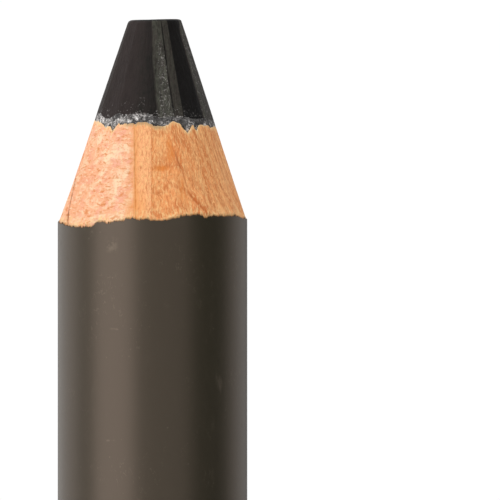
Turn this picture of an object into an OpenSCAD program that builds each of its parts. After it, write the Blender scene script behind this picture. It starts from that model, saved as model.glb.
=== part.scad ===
// Jumbo eyeshadow pencil, sharpened: a pigment core glued between two wooden slats,
// lacquered along the barrel and dipped over the tail. It stands on its tail, tip up.
// The front is -Y, and angles round the pencil are read from there, positive to the right (+X).

/* [Barrel] */
// Length from the tail face to the middle of the worn tip
overall_len = 125; // [100:1:140]
// Thickness of the wood between the core's glue bond and the lacquer, for a barrel 11.5 mm across
wood_t = 1.94; // [1.66:0.02:2.26]
// Thickness of the lacquer on the wood
coat_t = 0.06; // [0.04:0.01:0.12]

/* [Core] */
// Diameter of the pigment core
core_d = 7.1; // [6:0.1:8]
// How far the core lies to the right of the barrel's axis
core_shift = 0.16; // [0:0.01:0.3]
// Thickness of the glue bond round the core
bond_t = 0.2; // [0.12:0.01:0.3]

/* [Slats] */
// Place of the glued joint across the barrel, left of the axis when negative
seam_x = -1.06; // [-1.6:0.02:1.6]
// Thickness of the glue film in that joint
seam_t = 0.06; // [0.04:0.01:0.1]

/* [Sharpened end] */
// Included angle of the sharpened cone
cone_angle = 37.2; // [32:0.2:44]
// Lean of the cone to the right of the barrel's axis
cone_lean = 0.5; // [0:0.1:1.5]
// How far the cone's base lies to the right of the barrel's axis
cone_shift = 0.04; // [0:0.01:0.1]
// Diameter of the worn tip where its face would meet the cone
tip_d = 3.2; // [2.4:0.1:4.4]
// Radius worn on the tip's edge
tip_round = 0.3; // [0.15:0.05:0.5]
// Slope of the worn face, rising to the right
tip_slope = 2; // [0:0.5:4]
// Height of the longest tear in the wood's thin upper edge
tear_h = 0.42; // [0.2:0.02:0.8]

/* [Tail] */
// Length of barrel that the tail dip covers
dip_len = 4.5; // [3:0.5:10]
// Thickness of the dip, under the tail and round the barrel
dip_t = 0.1; // [0.06:0.01:0.2]
// Chamfer that breaks the barrel's tail edge under the dip
tail_break = 0.4; // [0.2:0.05:0.8]

/* [Hidden] */
$fn = 96;

core_r = core_d / 2;
groove_r = core_r + bond_t;
wood_r = groove_r + wood_t;
barrel_r = wood_r + coat_t;
barrel_d = 2 * barrel_r;
dip_r = barrel_r + dip_t;
tip_r = tip_d / 2;

// The cone in its own frame: its base, as wide as the barrel, is at height 0.
half_angle = cone_angle / 2;
apex_h = barrel_r / tan(half_angle);
tip_h = (barrel_r - tip_r) / tan(half_angle);
base_z = overall_len - tip_h;
// The cone runs on below its base, past the widest part of the barrel.
skirt_r = 1.5 * barrel_r;
// Blanks are drawn this long and then sharpened.
blank_top = base_z + apex_h;

// The flats that the blade left on the cone: [angle from the front, half the angle it spans].
flats = [[-53, 14.5], [-28, 7.5], [-11, 7], [7, 9], [24.5, 5], [44, 5.5], [70, 8], [95, 9],
         [116, 8], [137, 10], [160, 9], [181, 8], [203, 10.5], [228, 9], [251, 8], [272, 9], [289, 6]];

// Tears in the wood's upper edge: [angle from the front, share of tear_h, width as a share of tear_h].
tears = [[-64, 0.35, 1.1], [-51, 0.3, 1.2], [-39, 1.0, 1.4], [-17, 0.3, 0.8], [0, 0.25, 1.7],
         [11, 0.2, 2.0], [35, 1.0, 1.5], [45.5, 0.35, 1.0], [66, 0.4, 1.3], [84, 0.6, 1.2],
         [103, 0.85, 1.5], [121, 0.4, 1.0], [139, 0.6, 1.7], [158, 0.9, 1.4], [177, 0.45, 1.1],
         [196, 0.7, 1.6], [214, 0.4, 0.9], [232, 1.0, 1.5], [251, 0.5, 1.2], [270, 0.7, 1.3]];

// Angle in this file's own axes of an angle read from the front.
function from_front(angle) = angle - 90;

// Points of an arc about [x, y], from angle a0 to a1.
function arc(x, y, r, a0, a1, steps = 6) =
    [for (i = [0 : steps]) let (a = a0 + (a1 - a0) * i / steps) [x + r * cos(a), y + r * sin(a)]];

// Height of the chamfered tail face at radius r.
function tail_z(r) = dip_t + max(0, r - (barrel_r - tail_break));

// Height at which the leaning cone meets a wall at radius r from the core's own axis.
function edge_z(r, angle) =
    let (flare = tan(half_angle), side = sin(angle), lean = tan(cone_lean))
    base_z + (barrel_r - r - (core_shift - cone_shift) * side) / (flare - lean * side);

// One flat: everything outside a plane through the cone's apex. Its middle lies nearer to the axis
// than the cone does, and its edges, at half_span on each side, lie on the cone.
module blade_flat(angle, half_span) {
    slope = atan(tan(half_angle) * cos(half_span));
    reach = apex_h / cos(half_angle) + barrel_r;
    translate([0, 0, apex_h])
        rotate([0, 0, from_front(angle)])
            rotate([0, -slope, 0])
                translate([0, -barrel_r, -reach])
                    cube([barrel_r, barrel_d, reach]);
}

// Keeps what a sharpener leaves of a blank: the part inside the leaning cone, less the flats.
module sharpened() {
    intersection() {
        children();
        translate([cone_shift, 0, base_z]) rotate([0, cone_lean, 0])
            difference() {
                rotate_extrude()
                    polygon([[0, -base_z - barrel_r], [skirt_r, -base_z - barrel_r],
                             [skirt_r, (barrel_r - skirt_r) / tan(half_angle)], [0, apex_h]]);
                for (f = flats) blade_flat(f[0], f[1]);
            }
    }
}

// Keeps what wear leaves of the point: a sloping face with a rounded edge.
module worn() {
    // The rounding stops short of the cone, so that the last step crosses it cleanly.
    stop_angle = half_angle + 15;
    mid_x = tip_r - tip_round * (1 - sin(half_angle)) / cos(half_angle);
    edge = arc(mid_x, -tip_round, tip_round, 90, stop_angle);
    last = edge[len(edge) - 1];
    run = 2 * tip_r;
    outer = last + run * [sin(stop_angle), -cos(stop_angle)];
    intersection() {
        children();
        translate([cone_shift + tip_h * tan(cone_lean), 0, overall_len]) rotate([0, -tip_slope, 0])
            rotate_extrude()
                polygon(concat([[0, 0]], edge, [outer, [barrel_d, outer.y], [barrel_d, -overall_len - barrel_d],
                                                [0, -overall_len - barrel_d]]));
    }
}

// One V-shaped tear, cut through the wood's thin edge down to the glue bond.
module tear(angle, depth, width) {
    top = 2 * depth;
    spread = width * (top + depth) / depth / 2;
    translate([core_shift, 0, edge_z(groove_r, angle)])
        rotate([0, 0, from_front(angle)]) rotate([90, 0, 90])
            translate([0, 0, groove_r / 2])
                linear_extrude(height = groove_r)
                    polygon([[0, -depth], [spread, top], [-spread, top]]);
}

// The wood before it is split into slats, with the chamfer at its tail and the groove for the core.
module grooved_wood() {
    difference() {
        rotate_extrude()
            polygon([[0, dip_t], [barrel_r - tail_break, dip_t], [wood_r, tail_z(wood_r)],
                     [wood_r, blank_top], [0, blank_top]]);
        translate([core_shift, 0, 0]) cylinder(r = groove_r, h = blank_top + barrel_r);
    }
}

// The wood from x0 to x1 across the barrel, sharpened and torn.
module slat(x0, x1) {
    difference() {
        sharpened() intersection() {
            grooved_wood();
            translate([x0, -barrel_r, 0]) cube([x1 - x0, barrel_d, blank_top + barrel_r]);
        }
        for (t = tears) tear(t[0], t[1] * tear_h, t[2] * tear_h);
    }
}

// The film of glue in the joint, from y0 to y1.
module seam_film(y0, y1) {
    sharpened() intersection() {
        grooved_wood();
        translate([seam_x - seam_t / 2, y0, 0]) cube([seam_t, y1 - y0, blank_top + barrel_r]);
    }
}

module core() {
    color("#262322") sharpened() worn()
        translate([core_shift, 0, dip_t]) cylinder(r = core_r, h = blank_top);
}

module core_bond() {
    color("#94938d") sharpened()
        translate([core_shift, 0, dip_t]) difference() {
            cylinder(r = groove_r, h = blank_top);
            translate([0, 0, -1]) cylinder(r = core_r, h = blank_top + 2);
        }
}

module slat_left() {
    color("#efbb90") slat(-barrel_r, seam_x - seam_t / 2);
}

module slat_right() {
    color("#dba06a") slat(seam_x + seam_t / 2, barrel_r);
}

module seam_bond_front() {
    color("#8a5a30") seam_film(-barrel_r, 0);
}

module seam_bond_back() {
    color("#8a5a30") seam_film(0, barrel_r);
}

// The lacquer round the barrel, from the tail's chamfer up to the cone.
module lacquer_coat() {
    color("#4b453b") sharpened() rotate_extrude()
        polygon([[wood_r, tail_z(wood_r)], [barrel_r, tail_z(barrel_r)],
                 [barrel_r, blank_top], [wood_r, blank_top]]);
}

// A cup over the tail. Its upper edge thins out, as a dipped edge does.
module tail_dip() {
    bend = tail_break + 1.5 * dip_t;
    lip = 2 * dip_t;
    color("#4b453b") rotate_extrude()
        polygon(concat([[0, dip_t], [0, 0]], arc(dip_r - bend, bend, bend, -90, 0),
                       [[dip_r, dip_len - lip], [barrel_r + dip_t / 4, dip_len], [barrel_r, dip_len],
                        [barrel_r, tail_z(barrel_r)], [barrel_r - tail_break, dip_t]]));
}

core();
core_bond();
slat_left();
slat_right();
seam_bond_front();
seam_bond_back();
lacquer_coat();
tail_dip();
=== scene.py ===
"""Looks of a thick eyeshadow pencil, sharpened and standing on its dipped tail.

Shapes are worked out in millimetres and become metres when a mesh is made. Angles round the pencil are read
from the front, which is -Y, and grow to the right, which is +X. The sizes come from the frame where it has
them, and the sharpened end repeats the cut of the CAD model.
"""

import logging
from dataclasses import dataclass, field
from enum import Enum
from math import cos, pi, radians, sin, tan
from typing import Any

import bpy
import numpy as np
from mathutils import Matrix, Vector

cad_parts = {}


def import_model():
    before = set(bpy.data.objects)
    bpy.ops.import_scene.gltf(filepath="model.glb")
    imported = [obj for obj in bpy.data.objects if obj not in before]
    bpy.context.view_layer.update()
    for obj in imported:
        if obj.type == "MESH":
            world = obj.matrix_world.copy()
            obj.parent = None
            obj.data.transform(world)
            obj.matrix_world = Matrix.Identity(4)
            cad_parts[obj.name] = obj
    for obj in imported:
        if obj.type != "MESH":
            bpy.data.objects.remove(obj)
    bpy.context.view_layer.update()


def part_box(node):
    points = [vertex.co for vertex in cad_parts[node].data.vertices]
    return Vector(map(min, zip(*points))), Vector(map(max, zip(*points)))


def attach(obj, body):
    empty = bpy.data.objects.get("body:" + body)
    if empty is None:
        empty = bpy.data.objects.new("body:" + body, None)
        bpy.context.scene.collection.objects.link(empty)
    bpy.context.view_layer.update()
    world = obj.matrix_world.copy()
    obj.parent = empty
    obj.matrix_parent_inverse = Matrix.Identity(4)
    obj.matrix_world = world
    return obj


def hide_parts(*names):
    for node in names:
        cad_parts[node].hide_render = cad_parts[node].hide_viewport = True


LOG = logging.getLogger("pencil")

MM = 0.001

Colour = tuple[float, float, float]


def from_screen(red: float, green: float, blue: float) -> Colour:
    """Turns a colour as a screen shows it, 0 to 255, into the linear light that a shader takes."""
    shown = (channel / 255 for channel in (red, green, blue))
    return tuple(c / 12.92 if c <= 0.04045 else ((c + 0.055) / 1.055) ** 2.4 for c in shown)


# Patterns that close up round the pencil


def eased(share: np.ndarray) -> np.ndarray:
    """Eases a share from 0 to 1: three times its square less twice its cube."""
    return share * share * (3 - 2 * share)


def rise(value: np.ndarray, low: float, high: float) -> np.ndarray:
    """Rises from 0 at low to 1 at high along the eased curve. With low above high it falls."""
    return eased(np.clip((value - low) / (high - low), 0, 1))


def apart(angle: np.ndarray, middle: float) -> np.ndarray:
    """How far angles lie from a middle, in degrees, counted the shorter way round."""
    return (angle - middle + 180) % 360 - 180


def bearing(x: np.ndarray, y: np.ndarray) -> np.ndarray:
    """Angle from the front, in radians, of places to the right and to the back."""
    return np.arctan2(x, -y)


def whole_turn(columns: int) -> np.ndarray:
    """Angles in radians of columns that are spread evenly round the pencil."""
    return np.linspace(0, 2 * pi, columns, endpoint=False)


@dataclass(frozen=True)
class Field:
    """Random values on a lattice that wraps round the pencil, blended between the lattice points.

    Attributes:
        seed: Seed of the random values.
        around: How many lattice cells go round the pencil.
        cell: Height of a cell in millimetres.
        octaves: How many ever finer lattices are summed, each half as strong as the one before.
    """

    seed: int
    around: int
    cell: float
    octaves: int = 1

    def at(self, angle: np.ndarray, height: np.ndarray | float) -> np.ndarray:
        """Value of the field, about -1 to 1.

        The four lattice values round a point are mixed by its eased place in the cell. Each octave has twice
        the cells and half the strength.

        Args:
            angle: Angle from the front in degrees.
            height: Height in millimetres.

        Returns:
            The field at each point.
        """
        total = np.zeros(np.broadcast(angle, height).shape)
        for octave in range(self.octaves):
            around = self.around << octave
            table = np.random.default_rng(self.seed + octave).uniform(-1, 1, (around, 256))
            u = angle / 360 * around
            v = height / self.cell * 2**octave
            i, j = np.floor(u).astype(int), np.floor(v).astype(int)
            a, b = eased(u - i), eased(v - j)
            near = table[i % around, j % 256] * (1 - b) + table[i % around, (j + 1) % 256] * b
            far = table[(i + 1) % around, j % 256] * (1 - b) + table[(i + 1) % around, (j + 1) % 256] * b
            total += (near * (1 - a) + far * a) / 2**octave
        return total


@dataclass(frozen=True)
class Line:
    """A line that runs round the pencil through listed points.

    Attributes:
        points: Each point's angle from the front in degrees, from -180 up to 180, and its value.
    """

    points: tuple[tuple[float, float], ...]

    def at(self, angle: np.ndarray) -> np.ndarray:
        """Value at each angle: eased from each point to the next, and from the last one on to the first.

        Args:
            angle: Angle from the front in degrees.

        Returns:
            The line's value.
        """
        turns, values = np.array(self.points).T
        turns = np.r_[turns[-1] - 360, turns, turns[0] + 360]
        values = np.r_[values[-1], values, values[0]]
        where = apart(angle, 0)
        spot = np.clip(np.searchsorted(turns, where, side="right") - 1, 0, len(turns) - 2)
        share = (where - turns[spot]) / (turns[spot + 1] - turns[spot])
        return values[spot] + (values[spot + 1] - values[spot]) * eased(share)


# Sizes and the sharpened end


@dataclass(frozen=True)
class Sizes:
    """Sizes of the pencil in millimetres, read from the frame's solids.

    Attributes:
        barrel_r: Radius of the lacquered barrel.
        wood_r: Radius of the wood under the lacquer.
        groove_r: Radius of the groove that the core lies in.
        core_r: Radius of the core.
        core_shift: How far the core's axis lies to the right of the barrel's.
        seam_low: Place of the joint's left face across the pencil.
        seam_high: Place of its right face.
        floor_z: Height at which the core and the wood begin.
        dip_r: Radius of the dip over the tail.
        dip_len: Height up to which the dip reaches.
        tail_break: Chamfer of the barrel's tail edge.
    """

    barrel_r: float
    wood_r: float
    groove_r: float
    core_r: float
    core_shift: float
    seam_low: float
    seam_high: float
    floor_z: float
    dip_r: float
    dip_len: float
    tail_break: float = 0.4

    @property
    def foot_r(self) -> float:
        """Radius at which the chamfer of the tail begins."""
        return self.barrel_r - self.tail_break

    def tail_z(self, radius: float | np.ndarray) -> float | np.ndarray:
        """Height of the chamfer of the tail, which rises as much as the radius grows."""
        return self.floor_z + radius - self.barrel_r + self.tail_break

    @classmethod
    def from_frame(cls) -> "Sizes":
        """Reads the sizes off the boxes of the frame's nodes.

        Returns:
            The sizes.
        """
        core_low, core_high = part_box("core")
        bond_low, bond_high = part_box("core_bond")
        seam_low, seam_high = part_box("seam_bond_front")
        dip_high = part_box("tail_dip")[1]
        return cls(
            barrel_r=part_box("lacquer_coat")[1].x / MM,
            wood_r=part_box("slat_right")[1].x / MM,
            groove_r=(bond_high.x - bond_low.x) / 2 / MM,
            core_r=(core_high.x - core_low.x) / 2 / MM,
            core_shift=(core_high.x + core_low.x) / 2 / MM,
            seam_low=seam_low.x / MM,
            seam_high=seam_high.x / MM,
            floor_z=core_low.z / MM,
            dip_r=dip_high.x / MM,
            dip_len=dip_high.z / MM,
        )


@dataclass(frozen=True)
class Flat:
    """A flat that the blade left on the cone: its angle from the front and half the angle that it spans."""

    angle: float
    half_span: float


@dataclass(frozen=True)
class Tear:
    """A tear in the wood's thin edge: its angle from the front, its depth and its width at the edge."""

    angle: float
    depth: float
    width: float


@dataclass(frozen=True)
class SharpenedEnd:
    """The sharpened cone with its flats, its torn wood edge and its worn tip.

    Attributes:
        sizes: Sizes of the pencil.
        overall_len: Length from the tail face to the middle of the worn tip.
        half_angle: Half of the cone's angle, in radians.
        shift: How far its base lies to the right of the barrel's axis, in millimetres.
        lean: Lean of the cone to the right, in radians.
        tip_r: Radius at which the worn face would meet the cone.
        tip_round: Radius worn on the tip's edge.
        tip_slope: Slope of the worn face, in radians, rising to the right.
        level_left: How far left of its middle the worn face starts to slope.
        under: How far the worn tip stays under the CAD model's.
        crease: How softly flat and cone meet, in millimetres of height.
        steep: Height that a millimetre square to the cone takes.
        flats: The blade's flats.
        tears: The tears.
        smear: How high over the cone's base the pigment's smears end and the white of the glue begins.
        swell: How much higher than the cone the cut is where it meets the barrel, in millimetres.
        swell_from: Share of the barrel's radius at which the swell begins.
        inset: How far inside the groove's radius the wood's inner edge lies, in millimetres.
        paint: How high over the cone's base the lacquer reaches, in millimetres.
        bites: Field whose peaks are bites in the lacquer's edge.
        spikes: Field whose highest peaks are small spikes on it.
        grit: Field of its fine roughness.
    """

    sizes: Sizes
    overall_len: float = 125.0
    half_angle: float = radians(18.6)
    shift: float = 0.04
    lean: float = radians(0.5)
    tip_r: float = 1.6
    tip_round: float = 0.3
    tip_slope: float = radians(2)
    level_left: float = 0.35
    under: float = 0.001
    crease: float = 0.012
    steep: float = 3.1
    flats: tuple[Flat, ...] = (
        Flat(-53, 14.5), Flat(-28, 7.5), Flat(-11, 7), Flat(7, 9), Flat(24.5, 5), Flat(44, 5.5),
        Flat(70, 8), Flat(95, 9), Flat(116, 8), Flat(137, 10), Flat(160, 9), Flat(181, 8),
        Flat(203, 10.5), Flat(228, 9), Flat(251, 8), Flat(272, 9), Flat(289, 6),
    )
    tears: tuple[Tear, ...] = (
        Tear(-64, 0.1, 0.46), Tear(-52, 0.1, 0.5), Tear(-40.3, 0.6, 0.7), Tear(-26, 0.06, 0.3),
        Tear(0, 0.07, 0.7), Tear(11, 0.06, 0.8), Tear(31.8, 0.7, 0.96), Tear(42.4, 0.42, 0.52),
        Tear(66, 0.07, 0.55), Tear(84, 0.25, 0.5), Tear(103, 0.36, 0.64), Tear(121, 0.17, 0.42),
        Tear(139, 0.25, 0.71), Tear(158, 0.38, 0.59), Tear(177, 0.19, 0.46), Tear(196, 0.29, 0.67),
        Tear(214, 0.17, 0.38), Tear(232, 0.42, 0.63), Tear(251, 0.21, 0.5), Tear(270, 0.29, 0.55),
    )
    smear: Line = Line((
        (-168, 6.35), (-150, 6.55), (-132, 6.25), (-110, 6.6), (-85, 6.78), (-68, 6.57), (-58, 6.32),
        (-46, 6.29), (-39, 6.44), (-28, 6.58), (-22, 6.6), (-17, 6.7), (-10, 6.62), (-5, 6.6),
        (0, 6.48), (7, 6.38), (13, 6.41), (20, 6.44), (27, 6.47), (34, 6.38), (41, 6.2), (49, 6.17),
        (59, 6.29), (74, 6.2), (95, 6.5), (118, 6.3), (140, 6.6), (162, 6.3),
    ))
    swell: Line = Line((
        (-150, 0.04), (-110, 0.0), (-90, 0.14), (-74, 0.2), (-53, 0.3), (-34, 0.13), (-22, 0.1),
        (-13.4, 0.32), (-4, 0.26), (3.7, 0.16), (13.4, 0.32), (19, 0.38), (28, 0.42), (44, 0.36),
        (60, 0.4), (74, 0.22), (88, 0.06), (120, 0.03),
    ))
    swell_from: float = 0.84
    inset: Line = Line((
        (-180, 0.03), (-168, 0.03), (-162, 0.0), (-160, 0.0), (-150, 0.05), (-120, 0.0), (-90, 0.04),
        (-70, 0.02), (-61, 0.06), (-52, 0.03), (-46, 0.0), (-34, 0.0), (-27, 0.02), (-22, 0.0),
        (-17.8, 0.0), (-15, 0.05), (-9, 0.06), (-4, 0.02), (9, 0.02), (13, 0.04), (18, 0.09),
        (25, 0.07), (38, 0.07), (50, 0.06), (62, 0.06), (72, 0.07), (90, 0.05), (110, 0.02),
        (130, 0.06), (150, 0.02),
    ))
    paint: Line = Line((
        (-170, 0.1), (-155, -0.02), (-140, 0.14), (-120, 0.0), (-104, 0.12), (-88, 0.08),
        (-72, -0.06), (-57, -0.24), (-47, -0.24), (-39, -0.22), (-35, 0.02), (-31, 0.06), (-26.5, -0.04),
        (-22, 0.14), (-18.5, 0.11), (-14.5, 0.24), (-11, 0.26), (-7.5, 0.16), (-3, 0.24), (3.5, 0.14),
        (8, 0.14), (14.5, 0.27), (20, 0.39), (28, 0.46), (36, 0.37), (44, 0.41), (49, 0.38),
        (62, 0.41), (78, 0.25), (90, 0.12), (105, 0.02), (122, 0.15), (141, 0.0), (158, 0.14),
        (176, -0.02),
    ))
    bites: Field = Field(41, 150, 9.0)
    spikes: Field = Field(42, 600, 9.0)
    grit: Field = Field(43, 360, 9.0, 2)

    @property
    def tip_h(self) -> float:
        """Height of the worn tip over the cone's base."""
        return (self.sizes.barrel_r - self.tip_r) / tan(self.half_angle)

    @property
    def base_z(self) -> float:
        """Height at which the cone is as wide as the barrel."""
        return self.overall_len - self.tip_h

    @property
    def tip_x(self) -> float:
        """How far the worn tip's middle lies to the right of the barrel's axis."""
        return self.shift + self.tip_h * tan(self.lean)

    def cut(self, x: np.ndarray, y: np.ndarray) -> np.ndarray:
        """Height of the sharpened surface over a point of the plane.

        In the cone's own frame the cone's height is its apex less the radius over the tangent of the half
        angle. A flat's height falls with the distance along the flat's own direction, a little faster. The
        lowest of them all is the surface, with a soft crease: minus the crease times the logarithm of the
        sum of their exponentials. The lean turns the frame, so the height is found by substituting it a few
        times. Near the barrel the swell is added.

        Args:
            x: Places to the right, in millimetres.
            y: Places to the back, in millimetres.

        Returns:
            The surface's height over the tail face.
        """
        slope = tan(self.half_angle)
        apex = self.sizes.barrel_r / slope
        x = x - self.shift
        over = apex - np.hypot(x, y) / slope
        for _ in range(4):
            own = x * cos(self.lean) - over * sin(self.lean)
            heights = [apex - np.hypot(own, y) / slope]
            for flat in self.flats:
                along = own * sin(radians(flat.angle)) - y * cos(radians(flat.angle))
                heights.append(apex - along / (slope * cos(radians(flat.half_span))))
            lowest = np.minimum.reduce(heights)
            total = sum(np.exp((lowest - height) / self.crease) for height in heights)
            height = lowest - self.crease * np.log(total)
            over = (height - x * sin(self.lean)) / cos(self.lean)
        outward = rise(np.hypot(x, y), self.swell_from * self.sizes.barrel_r, self.sizes.barrel_r)
        return self.base_z + over + outward * self.swell.at(np.degrees(bearing(x, y)))

    def worn(self, x: np.ndarray, y: np.ndarray) -> np.ndarray:
        """Height of the worn tip over a point of the plane.

        The face slopes up to the right, and its rim drops along an arc: the arc's radius less the root of
        its square less the square of the way past the flat. The arc stops short of the cone, and the drop
        goes on in a straight line.

        Args:
            x: Places to the right, in millimetres.
            y: Places to the back, in millimetres.

        Returns:
            The worn surface's height over the tail face.
        """
        middle = self.tip_x
        flat_r = self.tip_r - self.tip_round * (1 - sin(self.half_angle)) / cos(self.half_angle)
        stop = self.half_angle + radians(15)
        past = np.hypot(x - middle, y) - flat_r
        arc = np.clip(past, 0, self.tip_round * cos(stop))
        beyond = np.maximum(past - self.tip_round * cos(stop), 0)
        drop = self.tip_round - np.sqrt(self.tip_round**2 - arc**2) + beyond / tan(stop)
        face = np.maximum(x - middle, -self.level_left) * tan(self.tip_slope)
        return self.overall_len - self.under + face - drop

    def torn(self, angle: np.ndarray) -> np.ndarray:
        """Height to which the wood's thin edge is whole.

        The edge starts where the cut meets the groove. Each tear lowers it by a V: its depth less the
        distance from its middle times its depth over half its width.

        Args:
            angle: Angle from the front, in radians.

        Returns:
            The height of the torn edge.
        """
        groove = self.sizes.groove_r - self.inset.at(np.degrees(angle))
        edge = self.cut(self.sizes.core_shift + groove * np.sin(angle), -groove * np.cos(angle))
        for tear in self.tears:
            away = np.abs(np.radians(apart(np.degrees(angle), tear.angle))) * groove
            edge = edge - tear.depth * np.clip(1 - 2 * away / tear.width, 0, 1)
        return edge

    def painted(self, turn: np.ndarray) -> np.ndarray:
        """Height up to which the lacquer reaches.

        It follows its line, less 0.12 mm times the square of the bites' field where that is above 0, plus
        a fifth of what the spikes' field is over 0.4, plus the grit. It stays 0.015 mm below the cut.

        Args:
            turn: Angle from the front, in degrees.

        Returns:
            The height of the lacquer's edge.
        """
        bites = np.maximum(self.bites.at(turn, 1.0), 0) ** 2
        spikes = np.maximum(self.spikes.at(turn, 1.0) - 0.4, 0)
        rim = self.base_z + self.paint.at(turn) - 0.12 * bites + 0.2 * spikes
        rim = rim + 0.03 * self.grit.at(turn, 1.0)
        angle, wood = np.radians(turn), self.sizes.wood_r
        return np.minimum(rim, self.cut(wood * np.sin(angle), -wood * np.cos(angle)) - 0.015)


# Meshes

# Share of the texture that the sides of a slab take, where its two end caps begin, and how wide they are
SLAB_SIDES = 0.97
CAPS_FROM = (0.974, 0.987)
CAP_WIDTH = 0.012


def grid_faces(rows: int, columns: int, rows_close: bool, columns_close: bool) -> np.ndarray:
    """Quads of a grid of points that is numbered row by row.

    Each quad joins a point, the one below it, the one below and beside it, and the one beside it. A closed
    direction also joins its last line to its first.

    Args:
        rows: Number of rows.
        columns: Number of columns.
        rows_close: Whether the last row joins the first.
        columns_close: Whether the last column joins the first.

    Returns:
        An array of four point numbers for each quad.
    """
    i = np.arange(rows if rows_close else rows - 1)[:, None]
    j = np.arange(columns if columns_close else columns - 1)[None, :]
    below, beside = (i + 1) % rows, (j + 1) % columns
    corners = (i * columns + j, below * columns + j, below * columns + beside, i * columns + beside)
    return np.stack(np.broadcast_arrays(*corners), axis=-1).reshape(-1, 4)


def grid_places(down: np.ndarray, spans: int, width: float) -> np.ndarray:
    """Texture places of the corners of the quads that grid_faces gives.

    Across, a corner lies at its column's share of the width. Down, it lies at its row's value.

    Args:
        down: Place down the texture of each row, and of the closing row if the rows close.
        spans: Number of quads in a row.
        width: Share of the texture that the grid takes across.

    Returns:
        An array of quads, corners and the two places.
    """
    i = np.arange(len(down) - 1)[:, None]
    j = np.arange(spans)[None, :]
    left, right = j / spans * width, (j + 1) / spans * width
    pairs = [(left, down[i]), (left, down[i + 1]), (right, down[i + 1]), (right, down[i])]
    corners = [np.stack(np.broadcast_arrays(across, along), axis=-1) for across, along in pairs]
    return np.stack(corners, axis=2).reshape(-1, 4, 2)


class Closing(Enum):
    """How a grid of points closes into a skin."""

    HOOP = "rows and columns both join up"
    SLAB = "rows join up and the two end columns are capped"
    TURNED = "columns join up and the first and last row shrink to a point"


@dataclass
class Skin:
    """A closed surface that is ready to become a mesh.

    Attributes:
        points: Points in millimetres.
        quads: Four point numbers of each quad.
        places: Texture places of the quads' corners.
        others: The other faces, each with its point numbers and texture places.
        marks: Named values at each point, which materials read.
    """

    points: np.ndarray
    quads: np.ndarray
    places: np.ndarray
    others: list[tuple[np.ndarray, np.ndarray]]
    marks: dict[str, np.ndarray]

    def volume(self) -> float:
        """Volume inside: a sixth of the sum of the faces' triple products.

        Returns:
            The volume in cubic millimetres, below 0 if the faces point inwards.
        """
        a, b, c, d = (self.points[self.quads[:, k]] for k in range(4))
        total = np.sum(a * np.cross(b, c)) + np.sum(a * np.cross(c, d))
        for face, _ in self.others:
            corners = self.points[face]
            total += np.sum(corners[0] * np.cross(corners[1:-1], corners[2:]))
        return total / 6

    def piece(self, name: str, material: bpy.types.Material, sharp: float = 50.0) -> bpy.types.Object:
        """Makes the mesh, in metres, and an object at the origin that shows it.

        Args:
            name: Name of the piece.
            material: Its finish.
            sharp: Angle between faces, in degrees, above which their edge stays sharp.

        Returns:
            The new object.
        """
        turn = -1 if self.volume() < 0 else 1
        faces = self.quads[:, ::turn].tolist() + [face[::turn].tolist() for face, _ in self.others]
        places = [self.places[:, ::turn].reshape(-1, 2)] + [place[::turn] for _, place in self.others]
        mesh = bpy.data.meshes.new(name)
        mesh.from_pydata((self.points * MM).tolist(), [], faces)
        layer = mesh.uv_layers.new(name="OFBake")
        layer.uv.foreach_set("vector", np.concatenate(places).astype(np.float32).ravel())
        for mark, values in self.marks.items():
            attribute = mesh.attributes.new(mark, "FLOAT", "POINT")
            attribute.data.foreach_set("value", values.astype(np.float32).ravel())
        mesh.polygons.foreach_set("use_smooth", np.ones(len(mesh.polygons), bool))
        mesh.set_sharp_from_angle(angle=radians(sharp))
        mesh.materials.append(material)
        piece = bpy.data.objects.new(name, mesh)
        bpy.context.scene.collection.objects.link(piece)
        return piece


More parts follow.
